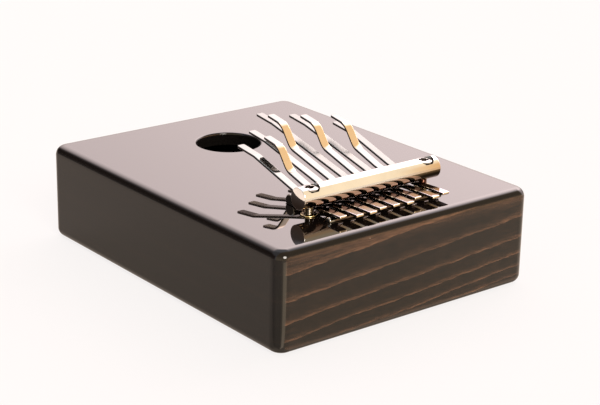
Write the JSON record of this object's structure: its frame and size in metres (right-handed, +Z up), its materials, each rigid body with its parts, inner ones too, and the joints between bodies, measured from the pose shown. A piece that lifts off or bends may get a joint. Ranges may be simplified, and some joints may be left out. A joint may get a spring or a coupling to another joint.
{
  "type": "kalimba",
  "caption": "Kalimba: bent spring-steel tines clamped by a round bar between two bridges on a hollow, gloss-lacquered wooden box with a round sound hole.",
  "frame": {"origin": "centre of the box's underside, on the surface that it lies on", "axes": "+X along the pressure bar, to the right seen from the tails; +Y from the tails of the tines to their playing ends; +Z up, out of the top that carries the tines"},
  "size_m": [0.1156, 0.145, 0.0577],
  "materials": {
    "lacquered_wood": "dark brown stained wood under a high-gloss clear lacquer",
    "bare_wood": "plain sawn wood, unfinished",
    "chrome": "polished plating",
    "spring_steel": "bright polished spring steel",
    "screw_steel": "bright plated",
    "brass": "polished"
  },
  "bodies": {
    "box": {"sound_box": "lacquered_wood", "back_plate": "lacquered_wood", "bridge_brace": "bare_wood", "pressure_bar": "chrome", "front_bridge": "chrome", "rear_bridge": "chrome", "bar_screw_left": "screw_steel", "bar_screw_right": "screw_steel", "screw_insert_left": "brass", "screw_insert_right": "brass"},
    "tine_1_body": {"tine_1": "spring_steel"},
    "tine_2_body": {"tine_2": "spring_steel"},
    "tine_3_body": {"tine_3": "spring_steel"},
    "tine_4_body": {"tine_4": "spring_steel"},
    "tine_5_body": {"tine_5": "spring_steel"},
    "tine_6_body": {"tine_6": "spring_steel"},
    "tine_7_body": {"tine_7": "spring_steel"},
    "tine_8_body": {"tine_8": "spring_steel"},
    "tine_9_body": {"tine_9": "spring_steel"}
  },
  "joints": [
    {"name": "tine_1_flex", "type": "hinge", "parent": "box", "child": "tine_1_body", "pos_m": [-0.0228, -0.04275, 0.04037], "axis": [1, 0, 0], "range_deg": [-2.5, 1], "stiffness_Nm_per_rad": 3.5},
    {"name": "tine_2_flex", "type": "hinge", "parent": "box", "child": "tine_2_body", "pos_m": [-0.0171, -0.04275, 0.04037], "axis": [1, 0, 0], "range_deg": [-2.5, 1], "stiffness_Nm_per_rad": 4.1},
    {"name": "tine_3_flex", "type": "hinge", "parent": "box", "child": "tine_3_body", "pos_m": [-0.0114, -0.04275, 0.04037], "axis": [1, 0, 0], "range_deg": [-2.5, 1], "stiffness_Nm_per_rad": 2.8},
    {"name": "tine_4_flex", "type": "hinge", "parent": "box", "child": "tine_4_body", "pos_m": [-0.0057, -0.04275, 0.04037], "axis": [1, 0, 0], "range_deg": [-2.5, 1], "stiffness_Nm_per_rad": 2.8},
    {"name": "tine_5_flex", "type": "hinge", "parent": "box", "child": "tine_5_body", "pos_m": [0, -0.04275, 0.04037], "axis": [1, 0, 0], "range_deg": [-2.5, 1], "stiffness_Nm_per_rad": 2.2},
    {"name": "tine_6_flex", "type": "hinge", "parent": "box", "child": "tine_6_body", "pos_m": [0.0057, -0.04275, 0.04037], "axis": [1, 0, 0], "range_deg": [-2.5, 1], "stiffness_Nm_per_rad": 3.2},
    {"name": "tine_7_flex", "type": "hinge", "parent": "box", "child": "tine_7_body", "pos_m": [0.0114, -0.04275, 0.04037], "axis": [1, 0, 0], "range_deg": [-2.5, 1], "stiffness_Nm_per_rad": 2.5},
    {"name": "tine_8_flex", "type": "hinge", "parent": "box", "child": "tine_8_body", "pos_m": [0.0171, -0.04275, 0.04037], "axis": [1, 0, 0], "range_deg": [-2.5, 1], "stiffness_Nm_per_rad": 3.5},
    {"name": "tine_9_flex", "type": "hinge", "parent": "box", "child": "tine_9_body", "pos_m": [0.0228, -0.04275, 0.04037], "axis": [1, 0, 0], "range_deg": [-2.5, 1], "stiffness_Nm_per_rad": 3.4}
  ]
}
